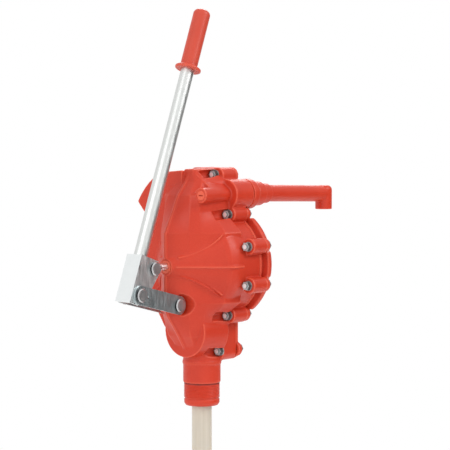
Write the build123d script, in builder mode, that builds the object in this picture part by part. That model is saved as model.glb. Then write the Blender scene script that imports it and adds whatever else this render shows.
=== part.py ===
from build123d import *

import os
from math import cos, radians, sin

# Hand-lever diaphragm drum pump. Millimetres, +Z up.
# The origin is on the axis of the bung adaptor, at the top of its thread.
# +X points to the rear, the way the spout points; the lever hangs on the -X side in the plane Y = 0.

os.makedirs("parts", exist_ok=True)

# ---- Driving dimensions ----
axis_z = 198.0          # height of the piston rod's axis above the bung seat
nut_x = 11.0            # face of the front flange that the nuts sit on
parting_x = 45.0        # plane where the two housings meet
boss_end_x = 54.0       # rear end of the bolt bosses

drum_r = 88.0           # round part of the flange
rim_r = 96.0            # rim behind the bolt bosses of the rear housing
chamber_r = 78.0        # inside of both diaphragm chambers

bolt_circle_r = 96.0    # eight bolts around the diaphragm
bolt_angles = (19.3, 59.5)
upper_bolt_yz = (20.0, 147.5)   # one more pair on the upper valve chest
lower_bolt_yz = (31.0, -142.5)  # and one on the lower valve chest
bolt_r = 4.0
bolt_hole_r = 4.5
boss_r = 13.0           # radius of the boss around each bolt

chest_half_w = 37.0     # valve chests, half width at the flange
chest_rise = 159.0
manifold_rise = 120.0   # axis of the inlet and outlet galleries, below and above the rod
manifold_r = 15.0
front_valve_x = 15.0
rear_valve_x = 58.0
valve_bore_r = 10.0
valve_seat_rise = 88.0  # start of the outlet valve seats above the rod axis
seat_thickness = 4.0

outlet_y = -41.5        # axis of the outlet, parallel to the rod
outlet_rise = 115.0
outlet_r = 25.0
outlet_bore_r = 15.0
outlet_end_x = 56.0

neck_r = 31.0
neck_low = 2.5          # lower end of the neck
socket_r = 24.0         # socket in the neck that the bung adaptor turns in
socket_depth = 22.0      # top of the socket above the origin
thread_r = 29.8         # outside of the two-inch bung thread
thread_length = 35.0
tube_r = 16.5           # suction tube
tube_wall = 2.5
tube_bottom = -360.0

rod_r = 6.5
run = 0.05              # radial clearance of every running fit
rod_pin_xz = (-132.0, 198.0)
lever_pin_xz = (-168.0, 158.0)
link_pin_xz = (-77.0, 136.0)
pin_r = 5.0
pin_head_r = 11.0
lever_tilt = 21.0       # lean of the lever towards the housing, from upright

sheet = 3.0             # thickness of the lever bracket and link plates
bracket_half_w = 16.0
link_gap = 0.3
link_half_w = 15.0
slack_centre = (-0.16, -1.06)  # centre of the oversize rod pin hole, from the pin at rest
slack_r = 2.5
lever_tube_r = 11.0
lever_tube_wall = 1.5
grip_length = 105.0
lever_reach = 486.0     # lever pin to the top of the grip

diaphragm_offset = 16.0  # rest position of the diaphragm's centre behind the parting plane
diaphragm_t = 4.0
diaphragm_r = 85.0
plate_r = 50.0
plate_t = 7.0
rod_tail_r = 5.0

bush_r = 9.5            # bore of the rod boss
gland_r = 10.5          # counterbore for the seal and the gland ring
gland_depth = 10.0
plug_bore_r = 7.5
tube_seat = 20.0        # length of neck that holds the suction tube


# ---- Planes and points shared by many pieces ----
def across(x):
    """Plane square to the rod at x; local axes are world Y and height above the rod axis."""
    return Plane(origin=(x, 0, axis_z), x_dir=(0, 1, 0), z_dir=(1, 0, 0))


def upright(y):
    """Plane along the rod at y, facing -Y; local axes are world X and world Z."""
    return Plane(origin=(0, y, 0), x_dir=(1, 0, 0), z_dir=(0, -1, 0))


def along_rod(y=0.0):
    """Plane along the rod at y, facing -Y; local axes are world X and height above the rod axis."""
    return Plane(origin=(0, y, axis_z), x_dir=(1, 0, 0), z_dir=(0, -1, 0))


rod_axis = Axis((0, 0, axis_z), (1, 0, 0))
outlet_axis = Axis((0, outlet_y, axis_z + outlet_rise), (1, 0, 0))

ring_bolts = [
    (side * bolt_circle_r * cos(radians(a)), lift * bolt_circle_r * sin(radians(a)))
    for side in (-1, 1)
    for lift in (-1, 1)
    for a in bolt_angles
]
chest_bolts = [
    (side * across_y, rise) for side in (-1, 1) for across_y, rise in (upper_bolt_yz, lower_bolt_yz)
]
all_bolts = ring_bolts + chest_bolts

# Front housing stations.
gland_x = -90.0         # end of the rod boss
nose_x = -89.0          # front edge of the central prow
keel_half_w = 3.0
keel_rise = 3.0         # how far the keel stands in front of the nose
rib_rise = 3.5
rib_rake = 0.955        # how fast the flank falls back: sideways travel for each millimetre along the rod
rib_lead = 4.0          # how far the ribs' middle stands outside the keel at the nose
rib_t = 3.0
cone_x = -84.0          # where the cone meets the root of the rod boss
chest_draft = 6.0       # degrees the lower chest widens towards the flange
drum_front_x = -22.0    # front edge of the drum, where the cone begins
rod_boss_r = 13.0
rod_boss_root = 5.0     # how much wider the rod boss is at its root
anchor_boss_r = 14.0
wing_x = -41.0          # front face of the wing on the far side
wing_t = 7.0
wing_in = 8.0           # inner edge of the wing, buried in the prow
wing_out = 90.0         # outer edge beside the rod
nut_pocket_r = 8.6
nut_pocket_depth = 36.0
chest_front_x = -43.0   # front of the lower valve chest
upper_chest_x = -32.0   # front of the upper valve chest
chest_crown = 14.0      # centre of the upper chest's rounded top, below the flange's end
crown_r = 12.0
gallery_r = 12.5
plug_x = -52.0          # front end of the outlet gallery
flange_thickness = parting_x - nut_x
lower_chest_r = 43.0
lower_chest_drop = 108.0
band_z = 34.0           # moulded band on the neck
band_h = 5.0
chamber_front_x = -52.0  # small end of the front chamber
chamber_throat_r = 35.0
bore_start_x = -8.0     # blind front ends of the two galleries
crossing_x = 24.0       # passage from the outlet gallery to the large outlet
crossing_r = 9.0
bead_fit = 0.2          # room around the diaphragm's bead
recess = 2.0            # half of the diaphragm's bead sits in each housing


def prow_section(rise, nose, shoulder, shoulder_w, knee, knee_w, back_w):
    """One level of the prow: blunt nose, shoulder of the flank, knee, and half the width at the flange."""
    with BuildSketch(Plane.XY.offset(axis_z + rise)) as section:
        Polygon(
            (nose, -keel_half_w), (shoulder, -shoulder_w), (knee, -knee_w), (nut_x + 1, -back_w),
            (nut_x + 1, back_w), (knee, knee_w), (shoulder, shoulder_w), (nose, keel_half_w),
            align=None,
        )
    return section.sketch


# The prow is widest beside the rod and narrows towards its upper and lower ends.
prow_levels = [
    prow_section(-151, -32, -31, 9, -28, 15, 26),
    prow_section(-115, -56, -56, 24, -44, 33, 44),
    prow_section(-81, -82, -64, 29, -44, 43, 53),
    prow_section(-60, nose_x, -66, 31, drum_front_x, 68, 74),
    prow_section(54, nose_x, -66, 31, drum_front_x, 70, 76),
    prow_section(88, -70, -62, 28, -49, 38, 50),
    prow_section(115, -57, -57, 24, -50, 38, 48),
    prow_section(137, -38, -38, 17, -34, 30, 38),
    prow_section(157, -33, -32, 9, -28, 12, 22),
]


# ---- Front housing ----
with BuildPart() as front_housing:
    # Flange with a boss at every bolt.
    with BuildSketch(across(nut_x)):
        Circle(drum_r)
        RectangleRounded(2 * chest_half_w, 2 * chest_rise, boss_r)
        with Locations(*ring_bolts):
            Circle(boss_r)
    extrude(amount=flange_thickness)
    # Drum over the front diaphragm chamber and a cone that ends in the rod boss.
    with BuildSketch(along_rod()):
        Polygon(
            (nut_x + 1, 0), (nut_x + 1, drum_r), (drum_front_x + 14, drum_r),
            (drum_front_x + 7, drum_r - 1.2), (drum_front_x, drum_r - 3.6), (drum_front_x - 6, drum_r - 8),
            (cone_x, rod_boss_r + rod_boss_root), (gland_x, rod_boss_r), (gland_x, 0), align=None,
        )
    revolve(axis=rod_axis)
    # Prow in front of the valve galleries, carrying the anchor boss of the link.
    loft(sections=prow_levels, ruled=True)
    with BuildSketch(upright(0)):
        with Locations(link_pin_xz):
            Circle(anchor_boss_r)
    extrude(amount=bracket_half_w, both=True)
    # Keel along the nose of the prow.
    with BuildSketch(along_rod()):
        Polygon(
            (0, -148), (-36, -148), (-59, -115), (-85, -81), (nose_x - keel_rise, -60),
            (nose_x - keel_rise, 54), (-73, 88), (-60, 115), (-41, 137), (-34, 150), (0, 150),
            align=None,
        )
    extrude(amount=keel_half_w, both=True)
    # Raking ribs on both flanks, curving from the rod boss to the drum's edge.
    for side in (-1, 1):
        flank = Plane(
            origin=(nose_x, side * (keel_half_w + rib_lead), axis_z),
            x_dir=(1, side * rib_rake, 0), z_dir=(-side * rib_rake, 1, 0),
        )
        for lift, root in ((1, 10), (-1, 15)):
            with BuildSketch(flank):
                with BuildLine():
                    Spline(
                        (15, lift * root), (40, lift * (root + 6)), (66, lift * (root + 19)),
                        (86, lift * (root + 36)),
                    )
                trace(line_width=rib_t)
            extrude(amount=rib_rise, both=True)
    # Lower valve chest.
    with BuildSketch(across(chest_front_x)):
        with Locations((0, -lower_chest_drop)):
            Circle(lower_chest_r)
    extrude(amount=nut_x + 1 - chest_front_x, taper=-chest_draft)
    # Upper valve chest, sloping down to the outlet gallery on the near side.
    with BuildSketch(across(upper_chest_x)):
        with Locations((outlet_y, outlet_rise)):
            Circle(gallery_r)
        with Locations((0, chest_rise - chest_crown)):
            Circle(crown_r)
        with Locations((chest_crown, outlet_rise)):
            Circle(gallery_r)
        make_hull()
    extrude(amount=nut_x + 1 - upper_chest_x)
    # Outlet gallery: a slim end with the plug, and the large outlet beside the chest.
    with BuildSketch(across(plug_x)):
        with Locations((outlet_y, outlet_rise)):
            Circle(gallery_r)
    extrude(amount=nut_x + 2 - plug_x)
    with BuildSketch(across(nut_x)):
        with Locations((outlet_y, outlet_rise)):
            Circle(outlet_r)
    extrude(amount=outlet_end_x - nut_x)
    # Suction neck with a moulded band at its root.
    with BuildSketch(Plane.XY.offset(neck_low)):
        Circle(neck_r)
    extrude(amount=axis_z - manifold_rise - 10 - neck_low)
    with BuildSketch(Plane.XY.offset(band_z)):
        Circle(neck_r + 1.2)
    extrude(amount=band_h)
    # Level rib on each side of the cone.
    for side in (-1, 1):
        with BuildSketch(Plane.XY.offset(axis_z - rib_t / 2)):
            Polygon(
                (cone_x - 2, side * (rod_boss_r + 2)), (cone_x, side * (rod_boss_r + rod_boss_root + 3)),
                (drum_front_x, side * (drum_r + 2.5)), (nut_x - 9, side * (drum_r + 2.5)),
                (nut_x - 9, side * 60), align=None,
            )
        extrude(amount=rib_t)

    # Seats for the nuts, cut through whatever stands in front of the flange.
    with BuildSketch(across(nut_x)):
        with Locations(*all_bolts):
            Circle(nut_pocket_r)
    extrude(amount=-nut_pocket_depth, mode=Mode.SUBTRACT)
    # Wing standing out on the far side, with a corner lug at its upper end.
    with BuildSketch(across(wing_x)):
        with BuildLine():
            Polyline(
                (wing_in, 155), (wing_in, -100), (46, -104), (62, -79), (78, -44), (wing_out, -20),
                (wing_out, 40), (82, 74), (106, 102),
            )
            ThreePointArc((106, 102), (84, 131), (56, 151))
            Line((56, 151), (wing_in, 155))
        make_face()
    extrude(amount=wing_t)
    # Clear the keel away in front of the rod boss.
    with BuildSketch(across(gland_x)):
        Circle(rod_boss_r + 0.5)
    extrude(amount=-20, mode=Mode.SUBTRACT)
    # Flat cheeks beside the anchor pin, where the link plates lie against the prow.
    for side in (-1, 1):
        with BuildSketch(upright(side * bracket_half_w)):
            with Locations(link_pin_xz):
                Circle(link_half_w + 3)
            with Locations((link_pin_xz[0] - 20, link_pin_xz[1] + 3)):
                Rectangle(40, 2 * link_half_w + 8)
        extrude(amount=-side * 60, mode=Mode.SUBTRACT)
    # Hole for the anchor pin.
    with BuildSketch(upright(0)):
        with Locations(link_pin_xz):
            Circle(pin_r + run)
    extrude(amount=60, both=True, mode=Mode.SUBTRACT)

    # Diaphragm chamber, the bore of the rod boss and the counterbore for the gland.
    with BuildSketch(along_rod()):
        Polygon(
            (parting_x, 0), (parting_x, diaphragm_r + bead_fit), (parting_x - recess, diaphragm_r + bead_fit),
            (parting_x - recess, chamber_r), (-14, chamber_r), (chamber_front_x, chamber_throat_r),
            (chamber_front_x, bush_r),
            (gland_x + gland_depth, bush_r), (gland_x + gland_depth, gland_r),
            (gland_x, gland_r), (gland_x, 0), align=None,
        )
    revolve(axis=rod_axis, mode=Mode.SUBTRACT)
    # Inlet and outlet galleries and the two valve bores that open into the chamber.
    for lift in (-1, 1):
        with BuildSketch(across(bore_start_x)):
            with Locations((0, lift * manifold_rise)):
                Circle(manifold_r)
        extrude(amount=parting_x - bore_start_x, mode=Mode.SUBTRACT)
    with BuildSketch(Plane.XY.offset(axis_z)):
        with Locations((front_valve_x, 0)):
            Circle(valve_bore_r)
    extrude(amount=manifold_rise, both=True, mode=Mode.SUBTRACT)
    # Outlet bore, open at the plug, and its crossing to the outlet gallery.
    with BuildSketch(across(plug_x)):
        with Locations((outlet_y, outlet_rise)):
            Circle(plug_bore_r)
    extrude(amount=outlet_end_x - plug_x, mode=Mode.SUBTRACT)
    with BuildSketch(across(nut_x + 3)):
        with Locations((outlet_y, outlet_rise)):
            Circle(outlet_bore_r)
    extrude(amount=outlet_end_x - nut_x - 3, mode=Mode.SUBTRACT)
    with BuildSketch(upright(0)):
        with Locations((crossing_x, axis_z + outlet_rise)):
            Circle(crossing_r)
    extrude(amount=-outlet_y, mode=Mode.SUBTRACT)
    # Suction passage: a socket for the bung adaptor, a seat for the tube and the way up.
    with BuildSketch(Plane.XY.offset(neck_low)):
        Circle(socket_r)
    extrude(amount=socket_depth - neck_low, mode=Mode.SUBTRACT)
    with BuildSketch(Plane.XY.offset(socket_depth)):
        Circle(tube_r)
    extrude(amount=tube_seat, mode=Mode.SUBTRACT)
    with BuildSketch(Plane.XY.offset(socket_depth + tube_seat)):
        Circle(tube_r - tube_wall)
    extrude(amount=axis_z - manifold_rise - socket_depth - tube_seat, mode=Mode.SUBTRACT)
    # Bolt holes.
    with BuildSketch(across(nut_x - 1)):
        with Locations(*all_bolts):
            Circle(bolt_hole_r)
    extrude(amount=flange_thickness + 2, mode=Mode.SUBTRACT)

# ---- Rear housing ----
rear_chest_r = 27.0
dome_x = 99.0
dome_flat_r = 8.0
rear_flange_t = 5.0
head_pocket_r = 11.0
recess_r = 83.5
wall = 5.5
with BuildPart() as rear_housing:
    with BuildSketch(across(parting_x)):
        Circle(drum_r)
        RectangleRounded(2 * chest_half_w, 2 * chest_rise, boss_r)
    extrude(amount=rear_flange_t)
    # Bolt bosses run back along the drum.
    with BuildSketch(across(parting_x)):
        with Locations(*all_bolts):
            Circle(boss_r - 1)
    extrude(amount=boss_end_x - parting_x)
    # Drum wall, recessed between the flange and a raised rim, and the domed back.
    with BuildSketch(along_rod()):
        with BuildLine():
            Polyline(
                (parting_x, 0), (parting_x, drum_r), (parting_x + 3, drum_r), (parting_x + 5, recess_r),
                (boss_end_x, recess_r), (boss_end_x + 2, rim_r - 1), (boss_end_x + 3, rim_r),
                (boss_end_x + 7, rim_r),
            )
            ThreePointArc((boss_end_x + 7, rim_r), (68, 93), (74, 86))
            ThreePointArc((74, 86), (83, 77), (89, 64))
            ThreePointArc((89, 64), (96.2, 36), (dome_x, dome_flat_r))
            Polyline((dome_x, dome_flat_r), (dome_x, 0), (parting_x, 0))
        make_face()
    revolve(axis=rod_axis)
    # Upright tower over the rear valves.
    with BuildSketch(Plane.XY.offset(axis_z - chest_rise + 4)):
        with Locations((parting_x, 0)):
            Circle(rear_chest_r)
    extrude(amount=2 * chest_rise - 8)
    split(bisect_by=across(parting_x))
    # Clearance around the large outlet, which belongs to the front housing.
    with BuildSketch(across(parting_x)):
        with Locations((outlet_y, outlet_rise)):
            Circle(outlet_r + 0.6)
    extrude(amount=60, mode=Mode.SUBTRACT)
    # Chamber, with the seat for the diaphragm's bead.
    with BuildSketch(along_rod()):
        with BuildLine():
            Polyline(
                (parting_x, 0), (parting_x, diaphragm_r + bead_fit),
                (parting_x + recess, diaphragm_r + bead_fit), (parting_x + recess, chamber_r),
                (74, chamber_r - 2),
            )
            ThreePointArc((74, chamber_r - 2), (80, chamber_r - 6), (84, chamber_r - 16))
            ThreePointArc((84, chamber_r - 16), (90.8, 34), (dome_x - wall, dome_flat_r))
            Polyline((dome_x - wall, dome_flat_r), (dome_x - wall, 0), (parting_x, 0))
        make_face()
    revolve(axis=rod_axis, mode=Mode.SUBTRACT)
    # Galleries and valve bores.
    for lift in (-1, 1):
        with BuildSketch(across(parting_x)):
            with Locations((0, lift * manifold_rise)):
                Circle(manifold_r)
        extrude(amount=rear_valve_x - parting_x, mode=Mode.SUBTRACT)
    with BuildSketch(Plane.XY.offset(axis_z)):
        with Locations((rear_valve_x, 0)):
            Circle(valve_bore_r)
    extrude(amount=manifold_rise, both=True, mode=Mode.SUBTRACT)
    # Bolt holes and flat seats for the washers.
    with BuildSketch(across(parting_x - 1)):
        with Locations(*all_bolts):
            Circle(bolt_hole_r)
    extrude(amount=30, mode=Mode.SUBTRACT)
    with BuildSketch(across(boss_end_x)):
        with Locations(*all_bolts):
            Circle(head_pocket_r)
    extrude(amount=30, mode=Mode.SUBTRACT)

# ---- Diaphragm and piston ----
centre_x = parting_x + diaphragm_offset
half_t = diaphragm_t / 2
with BuildPart() as diaphragm:
    # A flat bead, one rolled convolution and a flat centre, as a single sheet.
    with BuildSketch(along_rod()):
        with BuildLine():
            Line((centre_x - half_t, rod_tail_r), (centre_x - half_t, plate_r - 6))
            Spline(
                (centre_x - half_t, plate_r - 6), (centre_x + 1, plate_r + 8),
                (parting_x + 4, chamber_r - 8), (parting_x - half_t, chamber_r),
                tangents=((0, 1), (0, 1)),
            )
            Polyline(
                (parting_x - half_t, chamber_r), (parting_x - half_t, diaphragm_r),
                (parting_x + half_t, diaphragm_r), (parting_x + half_t, chamber_r),
            )
            Spline(
                (parting_x + half_t, chamber_r), (parting_x + 8, chamber_r - 7),
                (centre_x + 5, plate_r + 9), (centre_x + half_t, plate_r - 6),
                tangents=((0, -1), (0, -1)),
            )
            Polyline(
                (centre_x + half_t, plate_r - 6), (centre_x + half_t, rod_tail_r),
                (centre_x - half_t, rod_tail_r),
            )
        make_face()
    revolve(axis=rod_axis)


def piston_plate(face_x, way):
    """Dished disc that clamps the diaphragm; face_x is its clamping face, way its direction."""
    with BuildPart() as plate:
        with BuildSketch(along_rod()):
            with BuildLine():
                Line((face_x, rod_tail_r), (face_x, plate_r - 8))
                ThreePointArc(
                    (face_x, plate_r - 8), (face_x + way * 1.7, plate_r - 3), (face_x + way * 5, plate_r)
                )
                Polyline(
                    (face_x + way * 5, plate_r), (face_x + way * 6, plate_r - 1),
                    (face_x + way * plate_t, plate_r - 6), (face_x + way * plate_t, rod_tail_r),
                    (face_x, rod_tail_r),
                )
            make_face()
        revolve(axis=rod_axis)
    return plate


front_piston_plate = piston_plate(centre_x - half_t, -1)
rear_piston_plate = piston_plate(centre_x + half_t, 1)
shoulder_x = centre_x - half_t - plate_t
stack_end_x = centre_x + half_t + plate_t
piston_nut_t = 8.0
eye_r = 10.0
eye_half_w = 12.0
shank_r = 8.5
rod_start_x = rod_pin_xz[0] + 13
shank_end_x = rod_start_x + 12

with BuildPart() as piston_rod:
    with BuildSketch(across(rod_start_x)):
        Circle(rod_r)
    extrude(amount=shoulder_x - rod_start_x)
    with BuildSketch(across(shoulder_x)):
        Circle(rod_tail_r)
    extrude(amount=stack_end_x + piston_nut_t + 2 - shoulder_x)
    chamfer(piston_rod.edges().group_by(Axis.X)[-1], length=1)

with BuildPart() as piston_nut:
    with BuildSketch(across(stack_end_x)):
        RegularPolygon(9.5, 6)
        Circle(rod_tail_r, mode=Mode.SUBTRACT)
    extrude(amount=piston_nut_t)

with BuildPart() as rod_eye:
    with BuildSketch(upright(0)):
        with Locations(rod_pin_xz):
            Circle(eye_r)
    extrude(amount=eye_half_w, both=True)
    with BuildSketch(across(rod_pin_xz[0])):
        Circle(shank_r)
    extrude(amount=shank_end_x - rod_pin_xz[0])
    with BuildSketch(across(rod_start_x)):
        Circle(rod_r)
    extrude(amount=20, mode=Mode.SUBTRACT)
    with BuildSketch(upright(0)):
        with Locations(rod_pin_xz):
            Circle(pin_r)
    extrude(amount=eye_half_w, both=True, mode=Mode.SUBTRACT)

with BuildPart() as guide_bush:
    with BuildSketch(across(gland_x + gland_depth)):
        Circle(bush_r)
        Circle(rod_r + run, mode=Mode.SUBTRACT)
    extrude(amount=30)

seal_t = 4.0
with BuildPart() as rod_seal:
    with BuildSketch(across(gland_x + gland_depth - seal_t)):
        Circle(gland_r)
        Circle(rod_r + run, mode=Mode.SUBTRACT)
    extrude(amount=seal_t)

with BuildPart() as gland_ring:
    with BuildSketch(across(gland_x)):
        Circle(gland_r)
        Circle(rod_r + 2 * run, mode=Mode.SUBTRACT)
    extrude(amount=gland_depth - seal_t)

# ---- Pins and their push-on caps ----
head_t = 4.0
cap_t = 2.5
cap_r = 8.5


def headed_pin(centre, face_y, end_y):
    """Pin along Y with a domed head outside face_y and its tail at end_y."""
    with BuildPart() as pin:
        with BuildSketch(upright(face_y)):
            with Locations(centre):
                Circle(pin_head_r)
        extrude(amount=head_t)
        chamfer(pin.edges().group_by(Axis.Y)[0], length=1.6)
        with BuildSketch(upright(face_y)):
            with Locations(centre):
                Circle(pin_r)
        extrude(amount=-(end_y - face_y))
    return pin


def push_on_cap(centre, face_y):
    """Round cap pressed on a pin's tail, against face_y on the far side."""
    with BuildPart() as cap:
        with BuildSketch(upright(face_y)):
            with Locations(centre):
                Circle(cap_r)
                Circle(pin_r, mode=Mode.SUBTRACT)
        extrude(amount=-cap_t)
        outer_edge = cap.edges().filter_by(GeomType.CIRCLE).group_by(Axis.Y)[-1].sort_by(SortBy.LENGTH)[-1]
        chamfer(outer_edge, length=0.8)
    return cap


ear_face = bracket_half_w + link_gap
link_face = ear_face + sheet
rod_pin = headed_pin(rod_pin_xz, -ear_face, ear_face + cap_t)
rod_pin_cap = push_on_cap(rod_pin_xz, ear_face)
lever_pin = headed_pin(lever_pin_xz, -link_face, link_face + cap_t)
lever_pin_cap = push_on_cap(lever_pin_xz, link_face)
anchor_pin = headed_pin(link_pin_xz, -link_face - link_gap, link_face + link_gap + cap_t)
anchor_pin_cap = push_on_cap(link_pin_xz, link_face + link_gap)

# ---- Link plates ----
link_dx = link_pin_xz[0] - lever_pin_xz[0]
link_dz = link_pin_xz[1] - lever_pin_xz[1]
link_length = (link_dx**2 + link_dz**2) ** 0.5


def link_plate(near_y):
    """Flat bar with rounded ends between the lever pin and the anchor pin."""
    plane = Plane(
        origin=(lever_pin_xz[0], near_y, lever_pin_xz[1]), x_dir=(link_dx, 0, link_dz), z_dir=(0, -1, 0)
    )
    with BuildPart() as plate:
        with BuildSketch(plane):
            with Locations((link_length / 2, 0)):
                SlotCenterToCenter(link_length, 2 * link_half_w)
            Circle(pin_r, mode=Mode.SUBTRACT)
            with Locations((link_length, 0)):
                Circle(pin_r + run, mode=Mode.SUBTRACT)
            with Locations((17, 0)):
                Circle(2.5, mode=Mode.SUBTRACT)
        extrude(amount=sheet)
    return plate


near_link_plate = link_plate(-ear_face)
far_link_plate = link_plate(link_face)

# ---- Lever ----
tilt = radians(lever_tilt)
lever_dir = (sin(tilt), 0, cos(tilt))
tube_n = -4.2           # tube axis in front of the lever pin, square to the lever
web_in = tube_n - lever_tube_r
web_out = web_in - sheet
rod_pin_rel = (rod_pin_xz[0] - lever_pin_xz[0], rod_pin_xz[1] - lever_pin_xz[1])
rod_pin_n = rod_pin_rel[0] * cos(tilt) - rod_pin_rel[1] * sin(tilt)
rod_pin_s = rod_pin_rel[0] * sin(tilt) + rod_pin_rel[1] * cos(tilt)
web_low = -17.0
web_high = 62.0


def lever_plane(y):
    """Plane of the lever at y, facing -Y; local x is square to the lever, local y runs up it."""
    return Plane(
        origin=(lever_pin_xz[0], y, lever_pin_xz[1]), x_dir=(cos(tilt), 0, -sin(tilt)), z_dir=(0, -1, 0)
    )


tube_axis = Axis(lever_plane(0).from_local_coords(Vector(tube_n, 0, 0)), lever_dir)

with BuildPart() as lever_bracket:
    with BuildSketch(lever_plane(0)):
        Circle(16)
        with Locations((rod_pin_n, rod_pin_s)):
            Circle(13.5)
        with Locations(((web_in + web_out) / 2, (web_low + web_high) / 2)):
            Rectangle(sheet, web_high - web_low)
        make_hull()
    extrude(amount=bracket_half_w, both=True)
    # Open the channel between its two cheeks.
    with BuildSketch(lever_plane(0)):
        with Locations((web_in + 60, 0)):
            Rectangle(120, 200)
    extrude(amount=bracket_half_w - sheet, both=True, mode=Mode.SUBTRACT)
    with BuildSketch(lever_plane(0)):
        Circle(pin_r + run)
    extrude(amount=bracket_half_w, both=True, mode=Mode.SUBTRACT)
    # The rod pin's holes are oversize: the rod runs straight while the lever's arc does not.
    with BuildSketch(upright(0)):
        with Locations((rod_pin_xz[0] + slack_centre[0], rod_pin_xz[1] + slack_centre[1])):
            Circle(pin_r + slack_r)
    extrude(amount=bracket_half_w, both=True, mode=Mode.SUBTRACT)

tube_low = 8.0
tube_high = lever_reach - 8
tube_foot = Plane(
    origin=lever_plane(0).from_local_coords(Vector(tube_n, tube_low, 0)), z_dir=lever_dir
)
with BuildPart() as lever_tube:
    with BuildSketch(tube_foot):
        Circle(lever_tube_r)
        Circle(lever_tube_r - lever_tube_wall, mode=Mode.SUBTRACT)
    extrude(amount=tube_high - tube_low)

grip_r = 14.0
grip_flange_r = 21.5
grip_low = lever_reach - grip_length
with BuildPart() as grip:
    with BuildSketch(lever_plane(0)):
        with BuildLine():
            Polyline(
                (tube_n + lever_tube_r, grip_low), (tube_n + grip_flange_r - 1.5, grip_low),
            )
            ThreePointArc(
                (tube_n + grip_flange_r - 1.5, grip_low), (tube_n + grip_flange_r, grip_low + 2.5),
                (tube_n + grip_flange_r - 1.5, grip_low + 5),
            )
            Line((tube_n + grip_flange_r - 1.5, grip_low + 5), (tube_n + grip_r + 2, grip_low + 6.5))
            ThreePointArc(
                (tube_n + grip_r + 2, grip_low + 6.5), (tube_n + grip_r + 0.6, grip_low + 7.1),
                (tube_n + grip_r, grip_low + 8.5),
            )
            Line((tube_n + grip_r, grip_low + 8.5), (tube_n + grip_r, lever_reach - 7))
            ThreePointArc(
                (tube_n + grip_r, lever_reach - 7), (tube_n + grip_r - 2.4, lever_reach - 2.2),
                (tube_n + grip_r - 8, lever_reach),
            )
            Polyline(
                (tube_n + grip_r - 8, lever_reach), (tube_n, lever_reach), (tube_n, tube_high),
                (tube_n + lever_tube_r, tube_high), (tube_n + lever_tube_r, grip_low),
            )
        make_face()
    revolve(axis=tube_axis)

# ---- Valves ----
seat_hole_r = 7.0
hub_r = 4.0
stem_r = 2.0
stem_length = 5.0       # below the seat
inlet_seat_rise = -100.0
valve_places = {
    "front_inlet_valve": (front_valve_x, inlet_seat_rise),
    "rear_inlet_valve": (rear_valve_x, inlet_seat_rise),
    "front_outlet_valve": (front_valve_x, valve_seat_rise),
    "rear_outlet_valve": (rear_valve_x, valve_seat_rise),
}


def valve_seat(x, rise):
    """Ring with a three-armed spider whose hub guides the valve's stem."""
    with BuildPart() as seat:
        with BuildSketch(Plane.XY.offset(axis_z + rise)):
            with Locations((x, 0)):
                Circle(valve_bore_r)
                Circle(seat_hole_r, mode=Mode.SUBTRACT)
                with PolarLocations(seat_hole_r / 2, 3):
                    Rectangle(seat_hole_r + 1, 2)
                Circle(hub_r)
                Circle(stem_r + run, mode=Mode.SUBTRACT)
        extrude(amount=seat_thickness)
    return seat


def valve_disc(x, rise):
    """Flat disc that rests on the seat, with a guide stem below it."""
    with BuildPart() as disc:
        with BuildSketch(Plane.XY.offset(axis_z + rise + seat_thickness)):
            with Locations((x, 0)):
                Circle(valve_bore_r - 1.4)
        extrude(amount=2.5)
        with BuildSketch(Plane.XY.offset(axis_z + rise - stem_length)):
            with Locations((x, 0)):
                Circle(stem_r)
        extrude(amount=stem_length + seat_thickness)
    return disc


valves = {name: valve_disc(*place) for name, place in valve_places.items()}
valve_seats = Compound(children=[valve_seat(*place).part for place in valve_places.values()])

# ---- Outlet plug, coupling nut and spout ----
with BuildPart() as outlet_plug:
    with BuildSketch(across(plug_x + 1)):
        with Locations((outlet_y, outlet_rise)):
            Circle(plug_bore_r)
    extrude(amount=14)
    with BuildSketch(across(plug_x + 1)):
        with Locations((outlet_y, outlet_rise)):
            Rectangle(9, 2)
    extrude(amount=2, mode=Mode.SUBTRACT)

nut_start_x = outlet_end_x + 1.5
nut_end_x = 74.0
spigot_r = 21.0
spigot_end_x = 68.0
lip_r = 17.0
lip_x = 71.0
with BuildPart() as outlet_nut:
    with BuildSketch(along_rod(outlet_y)):
        with BuildLine():
            Polyline(
                (nut_start_x, outlet_rise + spigot_r), (nut_start_x, outlet_rise + outlet_r - 1),
                (nut_start_x + 1, outlet_rise + outlet_r), (nut_end_x - 5, outlet_rise + outlet_r),
            )
            ThreePointArc(
                (nut_end_x - 5, outlet_rise + outlet_r), (nut_end_x - 1.5, outlet_rise + outlet_r - 1.5),
                (nut_end_x, outlet_rise + outlet_r - 5),
            )
            Polyline(
                (nut_end_x, outlet_rise + outlet_r - 5), (nut_end_x, outlet_rise + lip_r),
                (lip_x, outlet_rise + lip_r), (lip_x, outlet_rise + spigot_r),
                (nut_start_x, outlet_rise + spigot_r),
            )
        make_face()
    revolve(axis=outlet_axis)

spout_bore_r = 11.5
pipe_bore_r = 11.0
hub_start_x = 77.0
hub_end_x = 97.0
collar_end_x = 116.0
spout_r = 14.0
spout_droop = 1.6
mouth_x = 276.0
mouth_drop = 27.0
mouth_r = 14.5
mouth_round = 8.0
pipe_length = mouth_x - collar_end_x
o_ring_x = 58.0
o_ring_w = 3.0
o_ring_in_r = 13.2
pipe_plane = Plane(
    origin=(collar_end_x - 1, outlet_y, axis_z + outlet_rise), x_dir=(0, 1, 0),
    z_dir=(cos(radians(spout_droop)), 0, -sin(radians(spout_droop))),
)
mouth_z = axis_z + outlet_rise - pipe_length * sin(radians(spout_droop))

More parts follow.
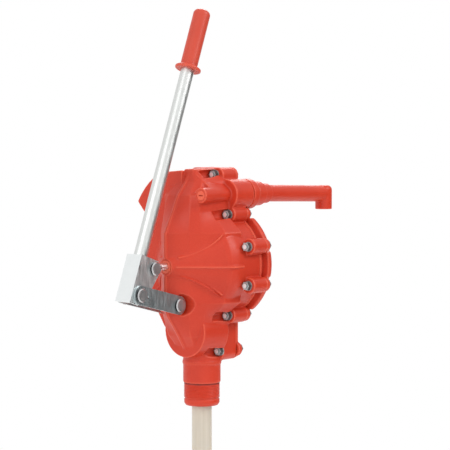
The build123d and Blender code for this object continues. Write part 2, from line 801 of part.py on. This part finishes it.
with BuildPart() as spout:
    # Tail, collar and stepped hub turned about the outlet.
    with BuildSketch(along_rod(outlet_y)):
        Polygon(
            (50, outlet_rise), (50, outlet_rise + outlet_bore_r - run),
            (o_ring_x, outlet_rise + outlet_bore_r - run), (o_ring_x, outlet_rise + o_ring_in_r),
            (o_ring_x + o_ring_w, outlet_rise + o_ring_in_r),
            (o_ring_x + o_ring_w, outlet_rise + outlet_bore_r - run),
            (spigot_end_x + 0.1, outlet_rise + outlet_bore_r - run),
            (spigot_end_x + 0.1, outlet_rise + spigot_r - 1), (lip_x - 0.1, outlet_rise + spigot_r - 1),
            (lip_x - 0.1, outlet_rise + lip_r - run), (hub_start_x, outlet_rise + lip_r - run),
            (hub_start_x, outlet_rise + 19), (hub_start_x + 1.5, outlet_rise + 20),
            (hub_end_x - 1.5, outlet_rise + 20), (hub_end_x, outlet_rise + 18.5),
            (hub_end_x + 1, outlet_rise + 16.5), (collar_end_x - 1, outlet_rise + 16.5),
            (collar_end_x, outlet_rise + 15), (collar_end_x, outlet_rise), align=None,
        )
    revolve(axis=outlet_axis)
    with BuildSketch(pipe_plane):
        Circle(spout_r)
    extrude(amount=pipe_length + 1)
    # Down-turned mouth with a rounded outer corner.
    with BuildSketch(Plane(origin=(mouth_x, outlet_y, mouth_z), x_dir=(1, 0, 0), z_dir=(0, -1, 0))):
        with BuildLine():
            Polyline((0, -mouth_drop), (mouth_r, -mouth_drop), (mouth_r, mouth_r - mouth_round))
            ThreePointArc(
                (mouth_r, mouth_r - mouth_round), (mouth_r - 2.4, mouth_r - 2.4),
                (mouth_r - mouth_round, mouth_r),
            )
            Polyline((mouth_r - mouth_round, mouth_r), (0, mouth_r), (0, -mouth_drop))
        make_face()
    revolve(axis=Axis((mouth_x, outlet_y, 0), (0, 0, 1)))
    # Bore through the hub, the pipe and the mouth.
    with BuildSketch(across(50)):
        with Locations((outlet_y, outlet_rise)):
            Circle(spout_bore_r)
    extrude(amount=collar_end_x - 50, mode=Mode.SUBTRACT)
    with BuildSketch(pipe_plane):
        Circle(pipe_bore_r)
    extrude(amount=pipe_length, mode=Mode.SUBTRACT)
    with BuildSketch(Plane.XY.offset(mouth_z - mouth_drop)):
        with Locations((mouth_x, outlet_y)):
            Circle(spout_bore_r)
    extrude(amount=mouth_drop, mode=Mode.SUBTRACT)

with BuildPart() as spout_o_ring:
    with BuildSketch(along_rod(outlet_y)):
        Polygon(
            (o_ring_x, outlet_rise + o_ring_in_r), (o_ring_x, outlet_rise + outlet_bore_r - run),
            (o_ring_x + o_ring_w, outlet_rise + outlet_bore_r - run),
            (o_ring_x + o_ring_w, outlet_rise + o_ring_in_r), align=None,
        )
    revolve(axis=outlet_axis)

# ---- Bung adaptor and suction tube ----
gasket_low = 0.2
gasket_r = 29.4
relief_r = 27.5
seal_low = 8.0
seal_h = 3.0
seal_in_r = 22.0
with BuildPart() as bung_adaptor:
    with BuildSketch(upright(0)):
        Polygon(
            (tube_r + run, -thread_length), (thread_r - 3, -thread_length), (thread_r, -thread_length + 3),
            (thread_r, gasket_low), (relief_r, gasket_low), (relief_r, neck_low - link_gap),
            (socket_r - run, neck_low - link_gap), (socket_r - run, seal_low), (seal_in_r, seal_low),
            (seal_in_r, seal_low + seal_h), (socket_r - run, seal_low + seal_h),
            (socket_r - run, socket_depth - 2), (tube_r + run, socket_depth - 2), align=None,
        )
    revolve(axis=Axis.Z)

with BuildPart() as adaptor_o_ring:
    with BuildSketch(Plane.XY.offset(seal_low)):
        Circle(socket_r - run)
        Circle(seal_in_r, mode=Mode.SUBTRACT)
    extrude(amount=seal_h)

with BuildPart() as bung_gasket:
    with BuildSketch(Plane.XY.offset(gasket_low)):
        Circle(gasket_r)
        Circle(relief_r, mode=Mode.SUBTRACT)
    extrude(amount=neck_low - link_gap - gasket_low)

with BuildPart() as suction_tube:
    with BuildSketch(Plane.XY.offset(tube_bottom)):
        Circle(tube_r)
        Circle(tube_r - tube_wall, mode=Mode.SUBTRACT)
    extrude(amount=socket_depth + tube_seat - tube_bottom)

# ---- Fasteners ----
washer_t = 1.6
nut_t = 6.5
head_h = 5.3
hex_r = 7.5
washer_r = 8.0


def bolt_set(start_x, amount, outer, hole_r):
    """One ring, nut or head at every bolt, as separate solids."""
    with BuildPart() as pieces:
        with BuildSketch(across(start_x)):
            with Locations(*all_bolts):
                if outer == "hexagon":
                    RegularPolygon(hex_r, 6)
                else:
                    Circle(washer_r)
                if hole_r:
                    Circle(hole_r, mode=Mode.SUBTRACT)
        extrude(amount=amount)
    return pieces


front_washers = bolt_set(nut_x - washer_t, washer_t, "round", bolt_r + 0.2)
rear_washers = bolt_set(boss_end_x, washer_t, "round", bolt_r + 0.2)
housing_nuts = bolt_set(nut_x - washer_t - nut_t, nut_t, "hexagon", bolt_r)

with BuildPart() as housing_bolts:
    with BuildSketch(across(boss_end_x + washer_t)):
        with Locations(*all_bolts):
            RegularPolygon(hex_r, 6)
    extrude(amount=head_h)
    with BuildSketch(across(nut_x - washer_t - nut_t - 2)):
        with Locations(*all_bolts):
            Circle(bolt_r)
    extrude(amount=boss_end_x + washer_t - (nut_x - washer_t - nut_t - 2))

# ---- Export ----
pieces = {
    "front_housing": front_housing.part,
    "rear_housing": rear_housing.part,
    "diaphragm": diaphragm.part,
    "front_piston_plate": front_piston_plate.part,
    "rear_piston_plate": rear_piston_plate.part,
    "piston_rod": piston_rod.part,
    "piston_nut": piston_nut.part,
    "rod_eye": rod_eye.part,
    "guide_bush": guide_bush.part,
    "rod_seal": rod_seal.part,
    "gland_ring": gland_ring.part,
    "rod_pin": rod_pin.part,
    "rod_pin_cap": rod_pin_cap.part,
    "lever_pin": lever_pin.part,
    "lever_pin_cap": lever_pin_cap.part,
    "anchor_pin": anchor_pin.part,
    "anchor_pin_cap": anchor_pin_cap.part,
    "near_link_plate": near_link_plate.part,
    "far_link_plate": far_link_plate.part,
    "lever_bracket": lever_bracket.part,
    "lever_tube": lever_tube.part,
    "grip": grip.part,
    "valve_seats": valve_seats,
    "outlet_plug": outlet_plug.part,
    "outlet_nut": outlet_nut.part,
    "spout": spout.part,
    "spout_o_ring": spout_o_ring.part,
    "bung_adaptor": bung_adaptor.part,
    "adaptor_o_ring": adaptor_o_ring.part,
    "bung_gasket": bung_gasket.part,
    "suction_tube": suction_tube.part,
    "housing_bolts": housing_bolts.part,
    "housing_nuts": housing_nuts.part,
    "front_washers": front_washers.part,
    "rear_washers": rear_washers.part,
}
pieces.update({name: valve.part for name, valve in valves.items()})
for name, piece in pieces.items():
    piece.label = name
    export_step(piece, f"parts/{name}.step")
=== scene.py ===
from math import cos, pi, radians, sin

import bpy
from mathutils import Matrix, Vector
from mathutils.bvhtree import BVHTree


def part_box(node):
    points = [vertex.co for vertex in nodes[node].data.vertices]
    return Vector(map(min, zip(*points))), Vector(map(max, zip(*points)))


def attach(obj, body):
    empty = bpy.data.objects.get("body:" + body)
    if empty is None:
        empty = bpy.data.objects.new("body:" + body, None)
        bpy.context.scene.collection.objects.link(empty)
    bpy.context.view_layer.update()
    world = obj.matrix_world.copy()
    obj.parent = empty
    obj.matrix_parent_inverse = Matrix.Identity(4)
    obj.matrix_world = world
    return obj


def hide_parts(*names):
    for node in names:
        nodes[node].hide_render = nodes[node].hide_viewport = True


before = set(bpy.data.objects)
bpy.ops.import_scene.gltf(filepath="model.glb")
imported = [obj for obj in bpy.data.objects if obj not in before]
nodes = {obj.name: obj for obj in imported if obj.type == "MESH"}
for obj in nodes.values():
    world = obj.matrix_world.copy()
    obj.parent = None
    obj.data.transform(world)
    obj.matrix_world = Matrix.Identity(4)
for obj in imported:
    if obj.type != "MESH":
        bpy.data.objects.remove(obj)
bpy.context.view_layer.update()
scene = bpy.context.scene
MM = 0.001


# ---- Materials ----
FINISH = "_finish"  # keeps the names apart from the frame's own materials


def new_material(name):
    """Node material with a bare Principled shader, and the object-space place its patterns are built on."""
    mat = bpy.data.materials.new(name + FINISH)
    mat.use_nodes = True
    tree = mat.node_tree
    tree.nodes.clear()
    out = tree.nodes.new("ShaderNodeOutputMaterial")
    shader = tree.nodes.new("ShaderNodeBsdfPrincipled")
    tree.links.new(shader.outputs["BSDF"], out.inputs["Surface"])
    place = tree.nodes.new("ShaderNodeTexCoord").outputs["Object"]
    return mat, tree, shader, place


def noise(tree, place, scale, detail=4.0, rough=0.55, stretch=(1, 1, 1)):
    """Noise value between 0 and 1; scale is in cycles per metre."""
    mapping = tree.nodes.new("ShaderNodeMapping")
    mapping.inputs["Scale"].default_value = stretch
    tree.links.new(place, mapping.inputs["Vector"])
    node = tree.nodes.new("ShaderNodeTexNoise")
    node.inputs["Scale"].default_value = scale
    node.inputs["Detail"].default_value = detail
    node.inputs["Roughness"].default_value = rough
    tree.links.new(mapping.outputs["Vector"], node.inputs["Vector"])
    return node.outputs["Fac"]


def ramp(tree, value, low, high, start=0.0, end=1.0):
    """Value turned into a colour or grey between low and high."""
    node = tree.nodes.new("ShaderNodeValToRGB")
    first, last = node.color_ramp.elements
    first.position, last.position = start, end
    first.color = (*low, 1) if isinstance(low, tuple) else (low, low, low, 1)
    last.color = (*high, 1) if isinstance(high, tuple) else (high, high, high, 1)
    tree.links.new(value, node.inputs["Fac"])
    return node.outputs["Color"]


def mix(tree, factor, a, b, kind="MIX"):
    """Two colours mixed by a factor that is a number or a socket."""
    node = tree.nodes.new("ShaderNodeMix")
    node.data_type = "RGBA"
    node.blend_type = kind
    for socket, value in ((node.inputs[0], factor), (node.inputs[6], a), (node.inputs[7], b)):
        if isinstance(value, (int, float)):
            socket.default_value = value
        elif isinstance(value, tuple):
            socket.default_value = (*value, 1)
        else:
            tree.links.new(value, socket)
    return node.outputs[2]


def bump(tree, shader, heights):
    """Chain of bumps; heights is a list of (value, strength, distance)."""
    last = None
    for value, strength, distance in heights:
        node = tree.nodes.new("ShaderNodeBump")
        node.inputs["Strength"].default_value = strength
        node.inputs["Distance"].default_value = distance
        tree.links.new(value, node.inputs["Height"])
        if last:
            tree.links.new(last, node.inputs["Normal"])
        last = node.outputs["Normal"]
    tree.links.new(last, shader.inputs["Normal"])


def edges(tree, start, end):
    """Mask from the mesh's pointiness: black below start, white above end, so outward edges are white."""
    geometry = tree.nodes.new("ShaderNodeNewGeometry")
    return ramp(tree, geometry.outputs["Pointiness"], 0.0, 1.0, start, end)


def moulded(name, base, light, dark, roughness=0.42, edge_highlight=(0.505, 0.56)):
    """Injection-moulded plastic: slow colour drift, fine skin texture, and outward edges painted paler as a
    highlight.
    The last argument is the pointiness at which that painted edge highlight begins and is full."""
    mat, tree, shader, place = new_material(name)
    drift = ramp(tree, noise(tree, place, 9, 3), dark, base, 0.3, 0.62)
    speck = ramp(tree, noise(tree, place, 420, 5, 0.7), 0.0, 1.0, 0.45, 0.8)
    colour = mix(tree, 0.12, drift, mix(tree, speck, dark, light))
    # Painted highlight: outward edges, found from the mesh's pointiness, mixed towards the light colour.
    colour = mix(tree, edges(tree, *edge_highlight), colour, light)
    tree.links.new(colour, shader.inputs["Base Color"])
    rub = ramp(tree, noise(tree, place, 34, 6, 0.65), roughness - 0.09, roughness + 0.12, 0.3, 0.75)
    tree.links.new(rub, shader.inputs["Roughness"])
    shader.inputs["Subsurface Weight"].default_value = 0.06
    shader.inputs["Subsurface Radius"].default_value = (0.004, 0.0008, 0.0004)
    shader.inputs["Specular IOR Level"].default_value = 0.36
    bump(tree, shader, [
        (noise(tree, place, 60, 3), 0.07, 0.0009),
        (noise(tree, place, 1400, 2, 0.5), 0.06, 0.0002),
    ])
    return mat


def metal(name, base, dark, roughness, grain=(1, 1, 1), grain_scale=260, depth=0.10, metallic=1.0, shaded_sides=None):
    """Bare or plated metal: cloudy tarnish, directional grain and outward edges coloured brighter.
    The last argument, when given, holds the painted shade for a turned piece's sides and the axis it was
    turned about."""
    mat, tree, shader, place = new_material(name)
    cloud = ramp(tree, noise(tree, place, 45, 6, 0.62), dark, base, 0.32, 0.66)
    line = noise(tree, place, grain_scale, 4, 0.6, grain)
    colour = mix(tree, ramp(tree, line, 0.0, 0.5, 0.35, 0.75), cloud, dark)
    # Outward edges, found from the mesh's pointiness, coloured brighter.
    bright = tuple(min(1.0, 1.25 * c) for c in base)
    colour = mix(tree, edges(tree, 0.52, 0.60), colour, bright)
    # Painted shade: faces turned away from the axis take a near-black colour that stands in for the shadow
    # round pin heads, nuts and bolt ends.
    if shaded_sides:
        side_shade, axis = shaded_sides
        facing = tree.nodes.new("ShaderNodeVectorMath")
        facing.operation = "DOT_PRODUCT"
        facing.inputs[1].default_value = axis
        tree.links.new(tree.nodes.new("ShaderNodeNewGeometry").outputs["Normal"], facing.inputs[0])
        across = tree.nodes.new("ShaderNodeMath")
        across.operation = "ABSOLUTE"
        tree.links.new(facing.outputs["Value"], across.inputs[0])
        colour = mix(tree, ramp(tree, across.outputs[0], 0.0, 1.0, 0.15, 0.4), side_shade, colour)
    tree.links.new(colour, shader.inputs["Base Color"])
    shader.inputs["Metallic"].default_value = metallic
    tree.links.new(ramp(tree, line, roughness - 0.08, roughness + 0.14, 0.3, 0.7), shader.inputs["Roughness"])
    bump(tree, shader, [(line, depth, 0.0003), (noise(tree, place, 90, 4), 0.6 * depth, 0.0006)])
    return mat


def soft(name, base, dark, roughness):
    """Rubber: matt, faintly mottled."""
    mat, tree, shader, place = new_material(name)
    tree.links.new(ramp(tree, noise(tree, place, 120, 5), dark, base, 0.3, 0.7), shader.inputs["Base Color"])
    tree.links.new(
        ramp(tree, noise(tree, place, 60, 4), roughness - 0.1, roughness + 0.1, 0.3, 0.7),
        shader.inputs["Roughness"],
    )
    bump(tree, shader, [(noise(tree, place, 900, 3), 0.15, 0.0002)])
    return mat


def milky(name, base, dark):
    """Natural polyethylene pipe: translucent, faint draw lines along its length."""
    mat, tree, shader, place = new_material(name)
    line = noise(tree, place, 190, 4, 0.6, (1, 1, 0.03))
    colour = ramp(tree, line, dark, base, 0.3, 0.7)
    tree.links.new(colour, shader.inputs["Base Color"])
    tree.links.new(ramp(tree, noise(tree, place, 50, 4), 0.32, 0.5, 0.3, 0.7), shader.inputs["Roughness"])
    shader.inputs["Subsurface Weight"].default_value = 0.35
    shader.inputs["Subsurface Radius"].default_value = (0.012, 0.010, 0.007)
    bump(tree, shader, [(line, 0.12, 0.0004)])
    return mat


red = ((0.60, 0.042, 0.015), (0.80, 0.13, 0.070), (0.53, 0.032, 0.011), 0.43)
RED = moulded("red_plastic", *red)
# Thread and ribs: the painted edge highlight starts only on sharper ridges.
RED_PIECE = moulded("red_plastic_piece", *red, edge_highlight=(0.60, 0.85))
GRIP = moulded("grip_plastic", (0.60, 0.070, 0.038), (0.72, 0.12, 0.07), (0.52, 0.050, 0.026), 0.42)
RUBBER = soft("rubber", (0.035, 0.034, 0.033), (0.018, 0.018, 0.018), 0.62)
WHITE = moulded("white_plastic", (0.78, 0.77, 0.73), (0.86, 0.85, 0.82), (0.68, 0.66, 0.60), 0.4)
BRIGHT = metal("bright_steel", (0.66, 0.73, 0.74), (0.46, 0.51, 0.52), 0.24, depth=0.03)
# Pin heads: their sides are painted near-black as shade.
PIN = metal("pin_steel", (0.62, 0.62, 0.62), (0.42, 0.42, 0.43), 0.34,
            shaded_sides=((0.035, 0.035, 0.037), (0, 1, 0)))
# Link plates: the same zinc sheet as the bracket, coloured darker as painted shade.
SHADED_SHEET = metal("sheet_steel", (0.37, 0.42, 0.43), (0.28, 0.32, 0.33), 0.36, (1, 1, 0.2))
PALE = metal("pale_zinc", (0.66, 0.68, 0.68), (0.58, 0.60, 0.61), 0.36, (1, 1, 0.15))
LEVER = metal("lever_metal", (0.56, 0.57, 0.56), (0.53, 0.54, 0.53), 0.38, (1, 1, 0.05), 340, 0.004)
# Nuts and bolt ends: their sides are painted dark as shade.
ZINC = metal("zinc_steel", (0.38, 0.44, 0.45), (0.18, 0.21, 0.21), 0.34, depth=0.03, metallic=0.45,
             shaded_sides=((0.07, 0.07, 0.07), (1, 0, 0)))
BOLT = metal("bolt_steel", (0.80, 0.92, 0.94), (0.60, 0.68, 0.70), 0.34, depth=0.03, metallic=0.35,
             shaded_sides=((0.14, 0.14, 0.14), (1, 0, 0)))
# Washers coloured dark as painted shade: the ring of shadow round each nut.
WASHER_SHADE = metal("washer_painted_shade", (0.34, 0.34, 0.34), (0.16, 0.16, 0.16), 0.45, depth=0.05, metallic=0.6)
TUBE = milky("tube_plastic", (0.63, 0.57, 0.485), (0.55, 0.49, 0.40))
GASKET = soft("red_rubber", (0.34, 0.026, 0.016), (0.22, 0.016, 0.010), 0.7)

finishes = {
    "front_housing": RED, "rear_housing": RED, "outlet_nut": RED, "outlet_plug": RED,
    "spout": RED, "bung_adaptor": RED, "grip": GRIP,
    "diaphragm": RUBBER, "rod_seal": RUBBER, "spout_o_ring": RUBBER, "adaptor_o_ring": RUBBER,
    "bung_gasket": GASKET, "front_inlet_valve": RUBBER, "rear_inlet_valve": RUBBER,
    "front_outlet_valve": RUBBER, "rear_outlet_valve": RUBBER,
    "front_piston_plate": WHITE, "rear_piston_plate": WHITE, "guide_bush": WHITE, "valve_seats": WHITE,
    "gland_ring": RED,
    "piston_rod": BRIGHT, "rod_eye": BRIGHT, "piston_nut": ZINC,
    "rod_pin": PIN, "lever_pin": PIN, "anchor_pin": PIN,
    "rod_pin_cap": BRIGHT, "lever_pin_cap": BRIGHT, "anchor_pin_cap": BRIGHT,
    "near_link_plate": SHADED_SHEET, "far_link_plate": SHADED_SHEET, "lever_bracket": PALE, "lever_tube": LEVER,
    "suction_tube": TUBE,
    "housing_bolts": BOLT, "housing_nuts": ZINC, "front_washers": WASHER_SHADE, "rear_washers": WASHER_SHADE,
}


for name, node in nodes.items():
    finish = finishes[name]
    node.data.materials.clear()
    node.data.materials.append(finish)


# ---- Modelled softness of the CAD pieces ----
def soften(name, width, segments=3, angle=35):
    """Rounded edges on a crisp piece."""
    bevel = nodes[name].modifiers.new("round", "BEVEL")
    bevel.width = width
    bevel.segments = segments
    bevel.limit_method = "ANGLE"
    bevel.angle_limit = radians(angle)


def remould(name, voxel, passes, pull=0.6):
    """Moulded skin: the piece rebuilt as a fine even mesh and smoothed, so every corner is filleted."""
    node = nodes[name]
    remesh = node.modifiers.new("skin", "REMESH")
    remesh.mode = "VOXEL"
    remesh.voxel_size = voxel
    remesh.use_smooth_shade = True
    smooth = node.modifiers.new("fillets", "SMOOTH")
    smooth.factor = pull
    smooth.iterations = passes


remould("front_housing", 1.1 * MM, 9)
remould("rear_housing", 1.3 * MM, 6)
remould("spout", 0.6 * MM, 7)
remould("outlet_nut", 0.7 * MM, 3)
remould("grip", 0.8 * MM, 3)
soften("lever_bracket", 1.2 * MM, 4)
for name in ("near_link_plate", "far_link_plate"):
    soften(name, 0.7 * MM)
for name in ("housing_nuts", "housing_bolts"):
    soften(name, 0.35 * MM)
for name in ("rod_pin", "lever_pin", "anchor_pin", "rod_eye", "outlet_plug", "lever_tube", "suction_tube"):
    soften(name, 0.4 * MM)


# ---- Modelled pieces ----
def mesh_piece(name, verts, faces, material):
    """Smooth-shaded object from a vertex list in world metres."""
    mesh = bpy.data.meshes.new(name)
    mesh.from_pydata(verts, [], faces)
    mesh.polygons.foreach_set("use_smooth", [True] * len(mesh.polygons))
    mesh.materials.append(material)
    mesh.update()
    piece = bpy.data.objects.new(name, mesh)
    scene.collection.objects.link(piece)
    return piece


def lathe(name, rows, radius_at, material, segments=120):
    """Closed ring turned about the frame's vertical axis; rows run once around its section."""
    verts = []
    for row in rows:
        for step in range(segments):
            turn = 2 * pi * step / segments
            r = radius_at(row, turn)
            verts.append((r * cos(turn), r * sin(turn), row[1] * MM))
    faces = []
    for i in range(len(rows)):
        upper, lower = i * segments, (i + 1) % len(rows) * segments
        for step in range(segments):
            after = (step + 1) % segments
            faces.append((upper + step, lower + step, lower + after, upper + after))
    return mesh_piece(name, verts, faces, material)


# Threaded adaptor: pipe thread of eleven turns to the inch, a run-out groove and a plain pilot ring.
pitch = 25.4 / 11
root_r, crest_r = 28.6, 29.8
thread_top, thread_end, thread_steps = -0.8, -22.0, 84
bore_r, spigot_r = 16.6, 23.95  # bore around the tube, and the part that turns in the neck
seal_low, seal_high, seal_r = 8.0, 11.0, 22.0
collar_r, collar_top = 27.5, 2.2
seat_r, seat_z, land_r, land_z = 29.2, 0.2, 29.5, -0.2
groove_r, groove_top, groove_end = 28.0, thread_end - 0.6, thread_end - 2.0
pilot_r, nose_r = 29.3, 26.4
corner, half_corner, bore_corner = 0.6, 0.3, 0.8
adaptor_bottom, adaptor_top = (end[2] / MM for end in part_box("bung_adaptor"))
pilot_low, taper_top, nose_z = adaptor_bottom + 4.4, adaptor_bottom + 3.6, adaptor_bottom + 0.4


def adaptor_radius(row, turn):
    """Radius of a row at an angle; on the threaded rows it rises and falls with the helix."""
    r, z, threaded = row
    if threaded:
        phase = (z / pitch - turn / (2 * pi)) % 1.0
        r = root_r + (crest_r - root_r) * (1 - abs(2 * phase - 1))
    return r * MM


outside = [
    (spigot_r, collar_top), (collar_r, collar_top), (collar_r, seat_z), (seat_r, seat_z), (land_r, land_z),
]
thread = [
    (0, thread_top + (thread_end - thread_top) * step / thread_steps) for step in range(thread_steps + 1)
]
pilot = [
    (groove_r, groove_top), (groove_r, groove_end), (pilot_r - half_corner, groove_end - corner),
    (pilot_r, groove_end - 2 * corner), (pilot_r, pilot_low), (pilot_r - half_corner, taper_top),
    (nose_r + corner, nose_z), (nose_r, adaptor_bottom),
]
inside = [
    (bore_r + bore_corner, adaptor_bottom), (bore_r, adaptor_bottom + corner), (bore_r, adaptor_top),
    (spigot_r - corner, adaptor_top), (spigot_r, adaptor_top - corner), (spigot_r, seal_high),
    (seal_r, seal_high), (seal_r, seal_low), (spigot_r, seal_low),
]
rows = [(*row, row in thread) for row in outside + thread + pilot + inside]
adaptor_skin = lathe("adaptor_threaded", rows, adaptor_radius, RED_PIECE)
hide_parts("bung_adaptor")
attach(adaptor_skin, "adaptor")

# Lower raking ribs: moulded ridges laid on both flanks of the prow, from beside the rod down to the drum.
housing = nodes["front_housing"]
flank_surface = BVHTree.FromPolygons(
    [housing.matrix_world @ v.co for v in housing.data.vertices],
    [tuple(p.vertices) for p in housing.data.polygons],
)
eye_low, eye_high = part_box("rod_eye")
rod_z = (eye_low[2] + eye_high[2]) / 2
flank_x, flank_y = 0.724, 0.69                        # way the prow's flank runs, seen from above
prow_x, prow_y = -89 * MM, 7 * MM                     # where the flank starts
rib_start, rib_end, rib_steps = 15 * MM, 88 * MM, 36  # along the flank
rib_root, rib_fall, rib_bend = 15 * MM, 37 * MM, 1.6  # below the rod
rib_width, rib_height, rib_sides = 2.1 * MM, 2.4 * MM, 10
rib_taper, rib_tip = 0.4, 0.05                        # power of the sine that thins the ends, least share
reach = 40 * MM                                       # the surface is looked for within this of the flank


def raking_rib(name, side):
    """Ridge with tapered ends that follows the housing's surface on one side of the rod."""
    outward = Vector((-flank_y, side * flank_x, 0)).normalized()
    path = []
    for step in range(rib_steps + 1):
        share = step / rib_steps
        along = rib_start + (rib_end - rib_start) * share
        drop = rib_root + rib_fall * share**rib_bend
        start = Vector((prow_x + along * flank_x, side * (prow_y + along * flank_y), rod_z - drop))
        hit = flank_surface.ray_cast(start + reach * outward, -outward, 2 * reach)[0]
        if hit:
            path.append((hit, max(rib_tip, sin(pi * share) ** rib_taper)))
    verts = []
    for i, (point, swell) in enumerate(path):
        tangent = (path[min(i + 1, len(path) - 1)][0] - path[max(i - 1, 0)][0]).normalized()
        across = tangent.cross(outward).normalized()
        for k in range(rib_sides):
            turn = 2 * pi * k / rib_sides
            verts.append(point + swell * (rib_width * cos(turn) * across + rib_height * sin(turn) * outward))
    faces = [tuple(range(rib_sides)), tuple(reversed(range(len(verts) - rib_sides, len(verts))))]
    for i in range(len(path) - 1):
        for k in range(rib_sides):
            after = (k + 1) % rib_sides
            a, b = i * rib_sides, (i + 1) * rib_sides
            faces.append((a + k, b + k, b + after, a + after))
    rib = mesh_piece(name, verts, faces, RED_PIECE)
    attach(rib, "pump_body")


raking_rib("raking_rib_near", -1)
raking_rib("raking_rib_far", 1)

# ---- Floor, light and camera ----
floor_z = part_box("suction_tube")[0][2]
floor_r, floor_sides = 1.35, 128
paint, tree, shader, place = new_material("floor_paint")
tone = ramp(tree, noise(tree, place, 3, 4), (0.86, 0.86, 0.85), (0.90, 0.90, 0.89))
tree.links.new(tone, shader.inputs["Base Color"])
tree.links.new(ramp(tree, noise(tree, place, 40, 4), 0.55, 0.7), shader.inputs["Roughness"])
floor_edge = [
    (floor_r * cos(2 * pi * i / floor_sides), floor_r * sin(2 * pi * i / floor_sides), floor_z)
    for i in range(floor_sides)
]
mesh_piece("floor", floor_edge, [tuple(range(floor_sides))], paint)

world = bpy.data.worlds.new("studio")
scene.world = world
world.use_nodes = True
tree = world.node_tree
tree.nodes.clear()
out = tree.nodes.new("ShaderNodeOutputWorld")
seen = tree.nodes.new("ShaderNodeBackground")
seen.inputs["Color"].default_value = (1, 1, 1, 1)
lit = tree.nodes.new("ShaderNodeBackground")
lit.inputs["Strength"].default_value = 1.1
# Softly shaded room: a dark screen stands to the right of the camera, which shapes the metal.
way = tree.nodes.new("ShaderNodeVectorMath")
way.operation = "DOT_PRODUCT"
way.inputs[1].default_value = (0.752, -0.652, -0.10)  # towards the screen
wall_grey, screen_grey, screen_start, screen_full = 0.86, 0.09, 0.45, 0.97
tree.links.new(tree.nodes.new("ShaderNodeTexCoord").outputs["Generated"], way.inputs[0])
room = ramp(tree, way.outputs["Value"], wall_grey, screen_grey, screen_start, screen_full)
tree.links.new(room, lit.inputs["Color"])
path = tree.nodes.new("ShaderNodeLightPath")
both = tree.nodes.new("ShaderNodeMixShader")
tree.links.new(path.outputs["Is Camera Ray"], both.inputs["Fac"])
tree.links.new(lit.outputs["Background"], both.inputs[1])
tree.links.new(seen.outputs["Background"], both.inputs[2])
tree.links.new(both.outputs["Shader"], out.inputs["Surface"])


middle = (0, 0, 0.2)


def softbox(name, place, side, power):
    """Square area light at place that faces the pump's middle."""
    lamp = bpy.data.lights.new(name, "AREA")
    lamp.shape = "SQUARE"
    lamp.size = side
    lamp.energy = power
    holder = bpy.data.objects.new(name, lamp)
    scene.collection.objects.link(holder)
    holder.location = place
    holder.rotation_mode = "QUATERNION"
    holder.rotation_quaternion = (Vector(middle) - Vector(place)).to_track_quat("-Z", "Y")


softbox("key", (1.1, -2.5, 2.0), 1.1, 44)
softbox("fill", (-2.6, -0.3, 1.3), 1.5, 15)
softbox("rim", (1.7, 1.2, 1.8), 1.0, 20)

# The camera stands level with the pump's middle, a little above it, and its film is shifted to frame it.
azimuth, elevation = radians(-49.15), radians(3.97)
distance = 3.0825
back = Vector((sin(azimuth) * cos(elevation), -cos(azimuth) * cos(elevation), sin(elevation)))
camera_data = bpy.data.cameras.new("camera")
camera = bpy.data.objects.new("camera", camera_data)
scene.collection.objects.link(camera)
camera.location = Vector(middle) + distance * back
camera.rotation_mode = "QUATERNION"
camera.rotation_quaternion = (-back).to_track_quat("-Z", "Y")
camera_data.lens = 149.62
camera_data.sensor_width = 36
camera_data.shift_x = 0.0514
camera_data.shift_y = 0.0841
scene.camera = camera
scene.view_settings.view_transform = "Standard"
